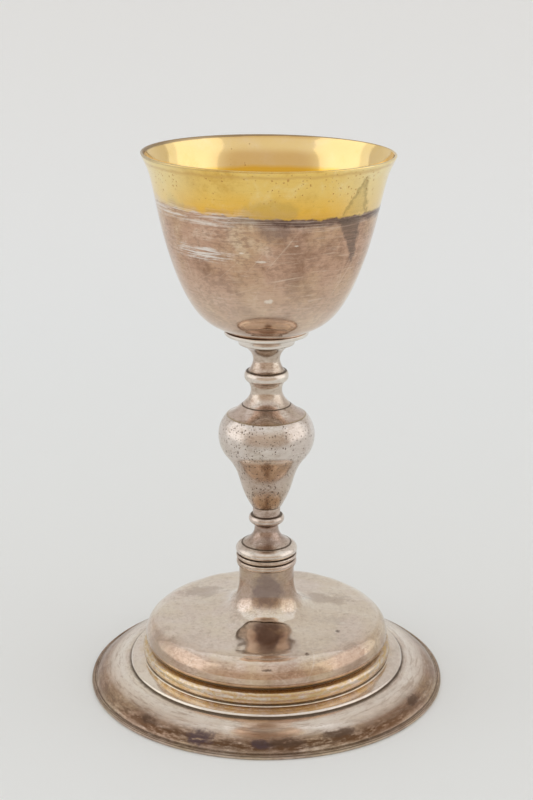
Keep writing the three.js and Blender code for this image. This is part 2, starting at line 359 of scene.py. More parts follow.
def makePits():
    # small dark pits of different sizes, thicker in some places
    tree, given, result = newTree("casting pits", "ShaderNodeTree", {
        "Vector": vector, "Pit Scale": 900.0, "Pit Size": 0.25, "Cluster Scale": 60.0, "Share": 0.5},
        {"Pits": number})
    cells = put(tree, "ShaderNodeTexVoronoi", {
        "Vector": given["Vector"], "Scale": given["Pit Scale"], "Randomness": 1.0}, feature="F1").outputs
    cluster = noiseAt(tree, given["Vector"], given["Cluster Scale"], 3.0)
    pick = put(tree, "ShaderNodeSeparateColor", {0: cells["Color"]}).outputs[0]
    chance = plus(tree, times(tree, minus(tree, cluster, 0.5), 3.0), given["Share"])
    chosen = calc(tree, "LESS_THAN", pick, calc(tree, "MINIMUM", chance, 0.55))
    size = times(tree, given["Pit Size"], plus(tree, pick, 0.4))
    away = put(tree, "ShaderNodeClamp", {"Value": calc(tree, "DIVIDE", cells["Distance"], size)}).outputs[0]
    soft = ramp(tree, minus(tree, 1.0, away), 0.0, 0.5)
    tree.links.new(times(tree, soft, chosen), result["Pits"])
    return tree


def makeGrain():
    # fine flecks of dirt, drawn out a little around the axis
    tree, given, result = newTree("fine dirt", "ShaderNodeTree", {
        "Vector": vector, "Fleck Scale": 900.0, "Amount": 0.5}, {"Flecks": number})
    flat = put(tree, "ShaderNodeVectorMath", {0: given["Vector"], 1: (0.6, 0.6, 1.3)}, operation="MULTIPLY")
    fine = noiseAt(tree, flat.outputs[0], given["Fleck Scale"], 4.0, 0.7)
    patchy = noiseAt(tree, given["Vector"], 55.0, 3.0, 0.6)
    flecks = ramp(tree, plus(tree, fine, times(tree, minus(tree, patchy, 0.5), 0.45)), 0.49, 0.66)
    tree.links.new(times(tree, flecks, given["Amount"]), result["Flecks"])
    return tree


def makeRun():
    # a stain that runs from one height to another and changes width on the way, on the camera's side
    tree, given, result = newTree("tapering run", "ShaderNodeTree", {
        "Vector": vector, "Top": vector, "Bottom": vector, "Ragged": 0.001}, {"Mask": number, "Rim": number})
    # X is the middle, Y the half width and Z the height of each end
    at, top, bottom = (xyz(tree, given[label]) for label in ("Vector", "Top", "Bottom"))
    shift = times(tree, minus(tree, noiseAt(tree, given["Vector"], 260.0, 6.0, 0.7), 0.5), given["Ragged"])
    share = ramp(tree, at["Z"], bottom["Z"], top["Z"], smooth=False)
    middle, half = (put(tree, "ShaderNodeMix", {0: share, 2: bottom[axis], 3: top[axis]}).outputs[0]
                    for axis in ("X", "Y"))
    away = calc(tree, "ABSOLUTE", minus(tree, at["X"], middle))
    room = plus(tree, minus(tree, half, away), shift)
    inside = ramp(tree, room, -0.0003, 0.0012)
    height = plus(tree, at["Z"], shift)
    low = ramp(tree, height, bottom["Z"], plus(tree, bottom["Z"], 0.0015))
    high = ramp(tree, height, top["Z"], minus(tree, top["Z"], 0.0015))
    near = ramp(tree, at["Y"], -0.005, -0.015)
    mask = times(tree, inside, near, low, high)
    tree.links.new(mask, result["Mask"])
    tree.links.new(times(tree, mask, ramp(tree, room, 0.0024, 0.0006)), result["Rim"])
    return tree


def makeBand():
    # a band of heights with ragged or clean edges
    tree, given, result = newTree("band between heights", "ShaderNodeTree", {
        "Vector": vector, "Low": 0.0, "High": 0.01, "Soft": 0.0005, "Ragged": 0.0, "Ragged Scale": 150.0},
        {"Mask": number})
    noise = noiseAt(tree, given["Vector"], given["Ragged Scale"], 5.0, 0.6)
    shift = times(tree, minus(tree, noise, 0.5), given["Ragged"])
    height = plus(tree, xyz(tree, given["Vector"])["Z"], shift)
    low, high, soft = given["Low"], given["High"], given["Soft"]
    lowSide = ramp(tree, height, minus(tree, low, soft), plus(tree, low, soft), smooth=False)
    highSide = ramp(tree, height, minus(tree, high, soft), plus(tree, high, soft), 1.0, 0.0, smooth=False)
    tree.links.new(times(tree, lowSide, highSide), result["Mask"])
    return tree


def makeSpot():
    # an oval spot with a ragged edge, anywhere on a surface
    tree, given, result = newTree("ragged spot", "ShaderNodeTree", {
        "Vector": vector, "Centre": vector, "Size": (0.01, 0.01, 0.01), "Ragged": 0.5,
        "Ragged Scale": 150.0}, {"Mask": number})
    offset = put(tree, "ShaderNodeVectorMath", {0: given["Vector"], 1: given["Centre"]}, operation="SUBTRACT")
    shrunk = put(tree, "ShaderNodeVectorMath", {0: offset.outputs[0], 1: given["Size"]}, operation="DIVIDE")
    far = put(tree, "ShaderNodeVectorMath", {0: shrunk.outputs[0]}, operation="LENGTH").outputs["Value"]
    noise = noiseAt(tree, given["Vector"], given["Ragged Scale"], 8.0, 0.75)
    shift = times(tree, minus(tree, noise, 0.5), times(tree, given["Ragged"], 2.6))
    tree.links.new(ramp(tree, plus(tree, far, shift), 1.35, 0.55), result["Mask"])
    return tree


film, turning, hairlines, pitting, band = makeFilm(), makeTurning(), makeHairlines(), makePits(), makeBand()
spot, dirt, run = makeSpot(), makeGrain(), makeRun()
print("shader groups ready")


def startMaterial(name):
    # a surface holds what a material grows from: its tree, shader and place, later tone, rough and height
    material = bpy.data.materials.new(name)
    material.use_nodes = True
    tree = material.node_tree
    tree.nodes.clear()
    output = tree.nodes.new("ShaderNodeOutputMaterial")
    shader = tree.nodes.new("ShaderNodeBsdfPrincipled")
    tree.links.new(shader.outputs[0], output.inputs[0])
    place = put(tree, "ShaderNodeTexCoord").outputs["Object"]
    return SimpleNamespace(material=material, tree=tree, shader=shader, place=place)


def useGroup(surface, group, inputs):
    return put(surface.tree, "ShaderNodeGroup", {"Vector": surface.place, **inputs}, node_tree=group).outputs


def bandMask(surface, low, high, soft=0.3, ragged=0.0, raggedScale=150.0, place=None):
    return useGroup(surface, band, {
        "Vector": place or surface.place, "Low": low * mm, "High": high * mm, "Soft": soft * mm,
        "Ragged": ragged * mm, "Ragged Scale": raggedScale})["Mask"]


def spotMask(surface, centre, size, ragged=0.5, raggedScale=150.0):
    return useGroup(surface, spot, {
        "Centre": inMetres(centre), "Size": inMetres(size), "Ragged": ragged,
        "Ragged Scale": raggedScale})["Mask"]


def tint(surface, mask, paint, strength=1.0, blend="MIX"):
    surface.tone = mixColour(surface.tree, times(surface.tree, mask, strength), surface.tone, paint, blend)


def stain(surface, mask, paint, strength=1.0, extraRough=0.25):
    # a tint that also dulls the metal under it
    tint(surface, mask, paint, strength)
    surface.rough = plus(surface.tree, surface.rough, times(surface.tree, mask, strength * extraRough))


silverLook = {
    "clean": (0.84, 0.76, 0.70, 1), "film": (0.68, 0.56, 0.48, 1), "thick": (0.46, 0.34, 0.28, 1),
    "grime": (0.09, 0.06, 0.035, 1), "roughness": 0.10, "filmRoughness": 0.10, "patches": 22.0,
    "clouds": 160.0, "contrast": 3.0, "rings": 2500.0, "ringHeight": 0.8, "bumpStrength": 0.25,
    "bumpDistance": 0.02, "paleStrokes": 0.45, "darkStrokes": 0.35, "hairShare": 0.55, "hairStrength": 0.7,
    "flecks": 0.5, "fleckScale": 850.0, "fleckTone": (0.33, 0.23, 0.15, 1), "castScale": 48.0,
    "yellowCast": (1.0, 0.97, 0.86, 1), "pinkCast": (1.0, 0.95, 0.94, 1), "seamHalfWidth": 0.21,
    "seamStrength": 0.9, "seamEdge": (0.12, 0.25, 400.0), "pitStrength": 0.8,
}


def startSilver(name, look, radiusShare):
    # what every silver shares: film colour, strokes, dirt, hairlines, roughness and a height for the bump
    surface = startMaterial(name)
    tree = surface.tree
    tarnish = useGroup(surface, film, {
        "Patch Scale": look["patches"], "Cloud Scale": look["clouds"], "Contrast": look["contrast"],
        "Clean Metal": look["clean"], "Film": look["film"], "Thick Film": look["thick"]})
    marks = useGroup(surface, turning, {"Radius Share": radiusShare, "Rings": look["rings"]})
    lines = useGroup(surface, hairlines, {"Share": look["hairShare"]})["Lines"]
    flecks = useGroup(surface, dirt, {"Fleck Scale": look["fleckScale"], "Amount": look["flecks"]})["Flecks"]
    drift = ramp(tree, noiseAt(tree, surface.place, look["castScale"], 4.0), 0.4, 0.6)
    cast = mixColour(tree, drift, look["yellowCast"], look["pinkCast"])
    surface.tone = mixColour(tree, 1.0, tarnish["Color"], cast, "MULTIPLY")
    tint(surface, marks["Strokes"], look["clean"], look["paleStrokes"])
    tint(surface, ramp(tree, marks["Height"], 0.47, 0.32), look["thick"], look["darkStrokes"])
    tint(surface, flecks, look["fleckTone"])
    tint(surface, lines, look["clean"], look["hairStrength"])
    surface.rough = plus(tree, look["roughness"], times(tree, tarnish["Mask"], look["filmRoughness"]))
    surface.height = minus(tree, times(tree, marks["Height"], look["ringHeight"]), lines)
    return surface


def finishMetal(surface, look):
    tree, shader = surface.tree, surface.shader
    bump = put(tree, "ShaderNodeBump", {
        "Strength": look["bumpStrength"], "Distance": look["bumpDistance"] * mm, "Height": surface.height})
    tree.links.new(surface.tone, shader.inputs["Base Color"])
    tree.links.new(surface.rough, shader.inputs["Roughness"])
    tree.links.new(bump.outputs[0], shader.inputs["Normal"])
    shader.inputs["Metallic"].default_value = 1.0
    return surface.material


def grimeLines(surface, look, seams):
    # a seam is a height, or a height with its own half width and strength
    for seam in seams:
        height, halfWidth, strength = seam if isinstance(seam, tuple) else (
            seam, look["seamHalfWidth"], look["seamStrength"])
        mask = bandMask(surface, height - halfWidth, height + halfWidth, *look["seamEdge"])
        stain(surface, mask, look["grime"], strength)


def rubPale(surface, look):
    for low, high, strength in look["paleBands"]:
        tint(surface, bandMask(surface, low, high, *look["paleEdge"]), look["pale"], strength)


# heights are measured from the floor; a band is low, high, softness, raggedness and scale of the ragged edge,
# and a spot is centre, size, raggedness and scale
stemLook = dict(
    silverLook, clean=(0.78, 0.71, 0.64, 1), film=(0.62, 0.52, 0.45, 1), thick=(0.36, 0.27, 0.215, 1),
    contrast=3.6, patches=70.0, clouds=420.0, roughness=0.16, flecks=0.55,
    yellowCast=(1.0, 0.98, 0.93, 1), pinkCast=(1.0, 0.95, 0.95, 1),
    seams=(55.0, 65.05, 78.4, 82.4, 129.95, 140.8, 145.2, 157.5, 161.7,
           (57.95, 0.3, 0.95), (60.4, 0.3, 0.95), (74.7, 0.3, 0.95)),
    brassBand=(125.05, 125.45, 0.15, 0.3, 400.0), brassLine=(0.40, 0.31, 0.18, 1), pale=(0.96, 0.91, 0.84, 1),
    paleBands=((60.9, 64.6, 0.35), (141.2, 144.9, 0.4), (157.9, 163.6, 0.65), (74.9, 78.2, 0.2)),
    paleEdge=(0.5, 1.2, 300.0), hollowBand=(66.0, 74.0, 1.5), hollowTint=(0.74, 0.70, 0.68, 1),
    pits={"Pit Scale": 1100.0, "Pit Size": 0.42, "Share": 0.08, "Cluster Scale": 90.0})


def stemSilver():
    look = stemLook
    surface = startSilver("mauve silver of the stem", look, 0.0)
    # rings and edges are rubbed pale, the film is thicker in the hollow neck
    tint(surface, bandMask(surface, *look["hollowBand"]), look["hollowTint"], blend="MULTIPLY")
    rubPale(surface, look)
    stain(surface, useGroup(surface, pitting, look["pits"])["Pits"], look["grime"], look["pitStrength"])
    grimeLines(surface, look, look["seams"])
    stain(surface, bandMask(surface, *look["brassBand"]), look["brassLine"], 0.9, 0.05)
    return finishMetal(surface, look)


knopLook = dict(
    silverLook, clean=(0.82, 0.77, 0.72, 1), film=(0.71, 0.64, 0.58, 1), thick=(0.50, 0.42, 0.36, 1),
    roughness=0.15, filmRoughness=0.08, contrast=2.8, patches=60.0, clouds=420.0, flecks=0.3,
    fleckScale=1000.0, yellowCast=(1.0, 0.985, 0.95, 1), pinkCast=(1.0, 0.975, 0.975, 1),
    lowBand=(70.0, 108.5, 0.8, 1.5, 120.0), copperFilmAndReflection=(0.40, 0.23, 0.115, 1), lowCopper=0.25, copperReflectionStrength=0.6,
    # two spots of painted reflection, where the foot mirrors coppery in the knop
    copperReflectionSpots=(((0.0, -17.0, 103.5), (11.5, 9.0, 6.5), 0.3, 200.0),
                 ((0.0, -8.0, 87.0), (6.0, 6.0, 4.5), 0.3, 200.0)),
    smudge=((1.0, -21.0, 117.5), (13.0, 9.0, 2.0), 0.9, 260.0), smudgeTone=(0.42, 0.36, 0.32, 1),
    smudgeStrength=0.3, cluster=((-9.0, -18.0, 112.5), (8.0, 9.0, 5.0), 0.8), lowCluster=0.6,
    # how much thicker each size of pit gets near the cluster
    pits=((0.3, {"Pit Scale": 620.0, "Pit Size": 0.44, "Share": 0.28, "Cluster Scale": 75.0}),
          (0.4, {"Pit Scale": 900.0, "Pit Size": 0.5, "Share": 0.55, "Cluster Scale": 110.0})),
    pitTone=(0.16, 0.115, 0.085, 1), pitDepth=4.0, seams=(82.6,))


def knopSilver():
    look = knopLook
    surface = startSilver("white pitted silver of the knop", look, 0.0)
    tree = surface.tree
    # the film is thicker and more coppery towards the narrow foot of the knop; the same copper is also a
    # painted reflection of the foot, strongest in two spots
    low = bandMask(surface, *look["lowBand"])
    tint(surface, low, look["copperFilmAndReflection"], look["lowCopper"])
    for place in look["copperReflectionSpots"]:
        tint(surface, times(tree, low, spotMask(surface, *place)), look["copperFilmAndReflection"], look["copperReflectionStrength"])
    stain(surface, spotMask(surface, *look["smudge"]), look["smudgeTone"], look["smudgeStrength"])
    near = calc(tree, "MAXIMUM", spotMask(surface, *look["cluster"]), times(tree, low, look["lowCluster"]))
    for reach, values in look["pits"]:
        share = plus(tree, times(tree, near, reach), values["Share"])
        pits = useGroup(surface, pitting, {**values, "Share": share})["Pits"]
        stain(surface, pits, look["pitTone"], look["pitStrength"])
        surface.height = minus(tree, surface.height, times(tree, pits, look["pitDepth"]))
    grimeLines(surface, look, look["seams"])
    return finishMetal(surface, look)


giltLook = {
    "innerLeaf": {
        "Patch Scale": 26.0, "Cloud Scale": 150.0, "Contrast": 1.8, "Clean Metal": (0.94, 0.73, 0.42, 1),
        "Film": (0.93, 0.69, 0.31, 1), "Thick Film": (0.83, 0.555, 0.15, 1)},
    "outerLeaf": {
        "Patch Scale": 45.0, "Cloud Scale": 220.0, "Contrast": 2.2, "Clean Metal": (1.0, 0.86, 0.50, 1),
        "Film": (0.94, 0.65, 0.19, 1), "Thick Film": (0.74, 0.45, 0.10, 1)},
    "rings": 1400.0, "roughness": 0.07, "filmRoughness": 0.06, "bumpStrength": 0.2, "bumpDistance": 0.02,
    "deep": (0.95, 0.59, 0.08, 1), "deepBand": (-10.0, 226.6, 0.9, 2.0, 90.0),
    "innerPits": {"Pit Scale": 500.0, "Pit Size": 0.35, "Share": -0.25, "Cluster Scale": 50.0},
    "innerPitTone": (0.45, 0.24, 0.07, 1), "innerRim": (239.45, 245.0, 0.25, 0.4),
    "edgeHeight": 220.6, "edgeTilt": 0.035, "edgeRagged": 5.0,
    "low": (0.92, 0.50, 0.05, 1), "lowStrength": 0.85, "olive": (0.60, 0.41, 0.12, 1), "oliveStrength": 0.5,
    "oliveClouds": (((3.0, -47.0, 223.5), (10.0, 8.0, 4.0), 1.0, 90.0),
                    ((-38.0, -30.0, 223.5), (5.0, 10.0, 4.0), 1.0, 90.0)),
    "lipLine": (0.62, 0.36, 0.12, 1), "lipBand": (236.9, 238.0, 0.5, 2.2, 130.0), "lipStrength": 0.45,
    "specks": {"Pit Scale": 660.0, "Pit Size": 0.42, "Share": 0.55, "Cluster Scale": 60.0},
    "speckTone": (0.52, 0.27, 0.08, 1), "speckBand": (226.0, 239.0, 2.0, 4.0),
    # below and above the edge, softness, raggedness and its scale, then colour and strength
    "edgeStains": (((3.4, 0.0, 1.6, 9.0, 110.0), (0.26, 0.17, 0.14, 1), 0.5),
                   ((2.9, 0.4, 0.9, 5.0, 230.0), (0.13, 0.08, 0.065, 1), 0.9)),
}
bowlLook = dict(
    silverLook, clean=(0.79, 0.625, 0.49, 1), film=(0.62, 0.415, 0.295, 1), thick=(0.36, 0.22, 0.145, 1),
    roughness=0.09, filmRoughness=0.08, contrast=3.4, patches=38.0, clouds=230.0, darkStrokes=0.4,
    hairShare=0.75, flecks=0.6, fleckScale=700.0, fleckTone=(0.36, 0.22, 0.15, 1), pale=(0.86, 0.73, 0.62, 1),
    lowBand=(150.0, 186.0, 12.0, 14.0, 60.0), lowPale=0.45,
    # a painted reflection of the stem, dark, low on the front of the bowl
    paintedSeatReflection=(0.58, 0.50, 0.44, 1), paintedSeatReflectionSpot=((0.0, -23.0, 167.0), (13.5, 13.0, 7.5), 0.15),
    paintedSeatReflectionStrength=0.85, seatGloss=(0.0, 0.8, 1.0, 0.35),
    wipes={"Radius Share": 1.0, "Rings": 1300.0, "Around": 3.0}, darkWipes=(0.44, 0.30, 0.0, 0.5),
    paleWipes=(0.58, 0.72, 0.0, 0.5), leafWipes=(0.46, 0.30, 0.0, 0.45),
    wornPatch=((-28.0, -34.0, 204.3), (15.0, 12.0, 3.2), 0.9, 120.0), wornTone=(0.92, 0.86, 0.80, 1),
    smudge=((4.0, -46.3, 215.6), (7.0, 6.0, 4.4), 1.1, 110.0), smudgeTone=(0.26, 0.18, 0.15, 1),
    smearTone=(0.90, 0.82, 0.74, 1), rimWear=(0.24, 0.17, 0.12, 1), rimBand=(239.5, 245.0, 0.25, 0.4),
    # top and bottom as middle, half width and height, then colour, strength and strength of the rim
    runs=(((40.6, 0.2, 236.5), (35.2, 5.6, 219.5), (0.56, 0.40, 0.12, 1), 0.4, 0.45),
          ((33.8, 5.2, 219.8), (34.8, 0.6, 197.5), (0.17, 0.125, 0.10, 1), 0.8, 0.0)),
    runRim=(0.26, 0.18, 0.07, 1), runRagged=6.0, runMottle=(0.60, 0.40, 0.7, 1.0),
    brightTone=(0.95, 0.87, 0.76, 1), brightStrength=0.65, wornStrength=0.85, smearStrength=0.8,
    # where a value or a place in metres starts and stops to count
    streakReach=(0.44, 0.58), rightReach=(-0.024, 0.008), brokenReach=(0.62, 0.42, 0.5, 1.0),
    sideSheenReach=(0.022, 0.044), rimReach=(-0.04, 0.01, 0.35, 1.0),
    brightSpecks=(((-2.0, -43.0, 202.5), (2.2, 3.0, 0.45)), ((0.8, -37.0, 184.7), (1.6, 3.0, 1.0)),
                  ((-10.0, -43.5, 206.0), (0.9, 3.0, 0.35)), ((12.0, -43.0, 209.0), (1.0, 3.0, 0.3))))


def makeGiltInside():
    look = giltLook
    surface = startMaterial("gilding inside the bowl")
    leaf = useGroup(surface, film, look["innerLeaf"])
    surface.tone = leaf["Color"]
    surface.height = useGroup(surface, turning, {"Rings": look["rings"]})["Height"]
    filmRough = times(surface.tree, leaf["Mask"], look["filmRoughness"])
    surface.rough = plus(surface.tree, look["roughness"], filmRough)
    tint(surface, bandMask(surface, *look["deepBand"]), look["deep"])
    stain(surface, useGroup(surface, pitting, look["innerPits"])["Pits"], look["innerPitTone"], 0.6)
    stain(surface, bandMask(surface, *look["innerRim"]), bowlLook["rimWear"], 0.8)
    return finishMetal(surface, look)


def makeBowlSilver():
    look, gold = bowlLook, giltLook
    surface = startSilver("part-gilt silver of the bowl", look, 1.0)
    tree, at = surface.tree, xyz(surface.tree, surface.place)
    # paler, pinker metal towards the seat, with a painted reflection of the stem darkening it where the stem
    # mirrors in it, and glossier there
    tint(surface, bandMask(surface, *look["lowBand"]), look["pale"], look["lowPale"])
    seat = times(tree, spotMask(surface, *look["paintedSeatReflectionSpot"]), look["paintedSeatReflectionStrength"])
    tint(surface, seat, look["paintedSeatReflection"], blend="MULTIPLY")
    surface.rough = times(tree, surface.rough, ramp(tree, seat, *look["seatGloss"]))
    wiped = useGroup(surface, turning, look["wipes"])["Height"]
    streaks = ramp(tree, wiped, *look["streakReach"])
    tint(surface, ramp(tree, wiped, *look["darkWipes"]), look["thick"])
    tint(surface, ramp(tree, wiped, *look["paleWipes"]), look["pale"])
    worn = times(tree, spotMask(surface, *look["wornPatch"]), streaks)
    tint(surface, worn, look["wornTone"], look["wornStrength"])
    stain(surface, spotMask(surface, *look["smudge"]), look["smudgeTone"], 0.6, 0.1)

    # gilding from the lip down to a ragged edge that drops to the right, worn pale on the left
    shift = join(tree, 0.0, 0.0, times(tree, at["X"], gold["edgeTilt"]))
    tilted = put(tree, "ShaderNodeVectorMath", {0: surface.place, 1: shift}, operation="ADD").outputs[0]
    edge, ragged = gold["edgeHeight"], gold["edgeRagged"]
    rightward = ramp(tree, at["X"], *look["rightReach"])
    smear = bandMask(surface, edge - 4.0, edge + 2.0, 1.2, ragged * 2, 90.0, tilted)
    leftward = times(tree, minus(tree, 1.0, times(tree, rightward, 0.7)), smear)
    tint(surface, times(tree, leftward, streaks), look["smearTone"], look["smearStrength"])
    broken = ramp(tree, wiped, *look["brokenReach"])
    for (below, above, *ending), paint, strength in gold["edgeStains"]:
        line = bandMask(surface, edge - below, edge + above, *ending, tilted)
        stain(surface, times(tree, line, rightward, broken), paint, strength, 0.05)

    # the gilding is deeper in colour towards its edge, with two olive clouds and a ruddy line at the lip
    leaf = gold["outerLeaf"]
    gilding = SimpleNamespace(tree=tree, tone=useGroup(surface, film, leaf)["Color"])
    lowGilding = bandMask(surface, 200.0, edge + 6.0, 5.0, 8.0, 70.0, tilted)
    tint(gilding, lowGilding, gold["low"], gold["lowStrength"])
    for cloud in gold["oliveClouds"]:
        tint(gilding, spotMask(surface, *cloud), gold["olive"], gold["oliveStrength"])
    tint(gilding, ramp(tree, wiped, *look["leafWipes"]), leaf["Thick Film"])
    # painted sheen: the gilding is paler at its left and right flanks
    sides = ramp(tree, calc(tree, "ABSOLUTE", at["X"]), *look["sideSheenReach"])
    tint(gilding, sides, leaf["Clean Metal"], 0.6)
    tint(gilding, bandMask(surface, *gold["lipBand"]), gold["lipLine"], gold["lipStrength"])
    gilt = bandMask(surface, edge, 260.0, 0.35, ragged, place=tilted)
    tint(surface, times(tree, gilt, minus(tree, 1.0, times(tree, leftward, 0.5))), gilding.tone)
    specks = useGroup(surface, pitting, gold["specks"])["Pits"]
    stain(surface, times(tree, specks, bandMask(surface, *gold["speckBand"])), gold["speckTone"], 0.7)

    # greenish wedge in the gilding and its dark drip below, right of the middle
    for top, bottom, paint, strength, rimStrength in look["runs"]:
        flow = useGroup(surface, run, {
            "Top": inMetres(top), "Bottom": inMetres(bottom), "Ragged": look["runRagged"] * mm})
        stain(surface, times(tree, flow["Mask"], ramp(tree, wiped, *look["runMottle"])), paint, strength, 0.1)
        stain(surface, flow["Rim"], look["runRim"], rimStrength, 0.1)
    for centre, size in look["brightSpecks"]:
        tint(surface, spotMask(surface, centre, size, 1.0, 700.0), look["brightTone"], look["brightStrength"])
    rimEdge = times(tree, bandMask(surface, *look["rimBand"]), ramp(tree, at["Y"], *look["rimReach"]))
    stain(surface, rimEdge, look["rimWear"], 0.8, 0.1)
    return finishMetal(surface, look)


footLook = dict(
    silverLook, clean=(0.84, 0.76, 0.69, 1), film=(0.70, 0.59, 0.50, 1), thick=(0.46, 0.34, 0.26, 1),
    roughness=0.08, filmRoughness=0.09, contrast=2.8, patches=28.0, clouds=280.0, rings=1500.0, flecks=0.38,
    pale=(0.92, 0.86, 0.79, 1), paleEdge=(0.5, 1.0, 120.0),
    paleBands=((6.4, 9.3, 0.7), (10.2, 11.9, 0.5), (14.5, 17.5, 0.3), (29.5, 36.0, 0.35)),
    smearMarks={"Radius Share": -0.6, "Rings": 700.0, "Around": 16.0},
    darkSmears=(0.46, 0.30, 0.0, 0.45), paleSmears=(0.56, 0.70, 0.0, 0.4),
    slopeBand=(2.0, 9.4, 0.8, 1.5, 60.0), slopeMarks={"Radius Share": -0.8, "Rings": 620.0, "Around": 6.0},
    darkStreaks=(0.50, 0.34, 0.0, 0.6), paleStreaks=(0.54, 0.68, 0.0, 0.6),
    rimStain=(0.12, 0.06, 0.024, 1), rimBand=(1.6, 6.2, 1.6, 4.0, 60.0),
    # painted shade that darkens the lower slope of the base all round
    slopeShadeTint=(0.64, 0.47, 0.35, 1), slopeShadeBand=(2.0, 7.2, 1.5, 3.0, 40.0), slopeShadeStrength=0.65,
    frontTint=(0.92, 0.85, 0.79, 1), frontBand=(19.9, 30.0, 1.5, 3.0, 50.0),
    # a painted reflection of the cup, dark, on the top of the drum
    cupReflectionTint=(0.40, 0.30, 0.24, 1), cupReflectionSpot=((1.0, -29.5, 33.0), (7.6, 12.0, 6.0), 0.5, 90.0),
    cupReflectionStrength=0.9, cupGloss=(0.0, 0.9, 1.0, 0.45),
    neckTint=(0.70, 0.63, 0.58, 1), neckBand=(39.0, 60.0, 2.0, 3.0, 80.0),
    neckFrontDarkening=(0.22, 0.16, 0.15, 1), neckSpot=((0.0, -12.0, 47.0), (7.0, 6.0, 9.0), 0.9, 220.0),
    seams=((1.38, 0.15, 0.9), (1.95, 0.1, 0.9), (9.95, 0.5, 0.9), (12.2, 0.25, 0.9), (18.8, 0.3, 0.9),
           (54.8, 0.2, 0.9)),
    residue=(0.60, 0.41, 0.18, 1), residueBand=(12.0, 19.9, 0.6, 2.0),
    hollowTone=(0.26, 0.15, 0.07, 1), hollowBand=(18.2, 19.9, 0.4, 0.5),
    # where a value or a place in metres starts and stops to count
    easedReach=(-0.02, -0.062, 0.55, 1.0), brownReach=(0.34, 0.55), wornReach=(0.36, 0.5),
    frontReach=(0.0, -0.045), residueReach=(0.44, 0.56),
    violet=(0.085, 0.058, 0.07, 1), sepia=(0.10, 0.06, 0.04, 1), smudgeTone=(0.38, 0.28, 0.22, 1),
    violetSpots=(((-28.7, -69.5, 4.8), (6.0, 5.0, 2.6)), ((-1.5, -75.0, 4.6), (4.0, 4.0, 1.4))),
    sepiaSpots=(((64.0, -37.5, 5.4), (3.0, 5.0, 1.4)), ((-50.0, -54.0, 5.2), (4.0, 5.0, 1.2)),
                ((30.0, -66.0, 5.5), (9.0, 5.0, 1.0)), ((8.0, -73.5, 4.8), (9.0, 5.0, 1.4)),
                ((0.0, -53.3, 27.5), (1.9, 3.0, 0.45)), ((31.8, -23.2, 32.3), (1.2, 1.3, 1.2)),
                ((17.4, -44.7, 31.4), (1.0, 1.1, 1.0))),
    smudges=(((27.5, 10.5, 33.0), (10.0, 6.0, 4.0)), ((-46.0, -26.0, 23.0), (9.0, 13.0, 7.0)),
             ((-31.0, 19.7, 33.0), (11.0, 7.0, 4.0)), ((36.0, -37.0, 24.0), (9.0, 9.0, 6.0))))


def makeFootSilver():
    look = footLook
    surface = startSilver("stained silver of the foot", look, -1.0)
    tree, forward = surface.tree, xyz(surface.tree, surface.place)["Y"]
    rubPale(surface, look)
    smears = useGroup(surface, turning, look["smearMarks"])["Height"]
    tint(surface, ramp(tree, smears, *look["darkSmears"]), look["thick"])
    tint(surface, ramp(tree, smears, *look["paleSmears"]), look["pale"])
    # long streaks round the slope of the base
    slope = bandMask(surface, *look["slopeBand"])
    streaks = useGroup(surface, turning, look["slopeMarks"])["Height"]
    for reach, paint in ((look["darkStreaks"], look["thick"]), (look["paleStreaks"], look["pale"])):
        tint(surface, times(tree, slope, ramp(tree, streaks, *reach)), paint)
    # brown stain on the round edge of the base, broken by wear and weaker at the sides
    breakup = noiseAt(tree, surface.place, 45.0, 6.0, 0.7)
    smeared = plus(tree, times(tree, smears, 0.6), times(tree, breakup, 0.4))
    eased = ramp(tree, forward, *look["easedReach"])
    patchy = ramp(tree, smeared, *look["brownReach"])
    brown = times(tree, bandMask(surface, *look["rimBand"]), eased, patchy)
    stain(surface, brown, look["rimStain"], 0.92, 0.18)
    # painted shade: the lower slope of the base is darkened all round
    tint(surface, bandMask(surface, *look["slopeShadeBand"]), look["slopeShadeTint"], look["slopeShadeStrength"], "MULTIPLY")
    worn = ramp(tree, smeared, *look["wornReach"])
    for spots, paint in ((look["violetSpots"], look["violet"]), (look["sepiaSpots"], look["sepia"])):
        for centre, size in spots:
            stain(surface, times(tree, spotMask(surface, centre, size, 1.1, 300.0), worn), paint, 0.75, 0.2)
    for centre, size in look["smudges"]:
        stain(surface, spotMask(surface, centre, size, 1.3, 120.0), look["smudgeTone"], 0.5, 0.05)
    # darker and warmer low on the front half of the drum, warmer film on the neck, and a painted reflection
    # of the cup, dark and glossier, on the top of the drum
    front = times(tree, bandMask(surface, *look["frontBand"]), ramp(tree, forward, *look["frontReach"]))
    paintedCupReflection = times(tree, spotMask(surface, *look["cupReflectionSpot"]), look["cupReflectionStrength"])
    surface.rough = times(tree, surface.rough, ramp(tree, paintedCupReflection, *look["cupGloss"]))
    neck = bandMask(surface, *look["neckBand"])
    for mask, paint in ((front, look["frontTint"]), (paintedCupReflection, look["cupReflectionTint"]), (neck, look["neckTint"])):
        tint(surface, mask, paint, blend="MULTIPLY")
    # old gilding left in the hollows round the moulding
    gathered = ramp(tree, smeared, *look["residueReach"])
    leftIn = times(tree, bandMask(surface, *look["residueBand"]), gathered)
    stain(surface, leftIn, look["residue"], 0.85, 0.12)
    stain(surface, bandMask(surface, *look["hollowBand"]), look["hollowTone"], 0.6, 0.1)
    grimeLines(surface, look, look["seams"])
    # a darker spot on the front of the neck
    stain(surface, spotMask(surface, *look["neckSpot"]), look["neckFrontDarkening"], 0.7, 0.05)
    return finishMetal(surface, look)


plainSilver, pittedSilver = stemSilver(), knopSilver()
bowlGilt, bowlSilver, footSilver = makeGiltInside(), makeBowlSilver(), makeFootSilver()
print("materials ready")


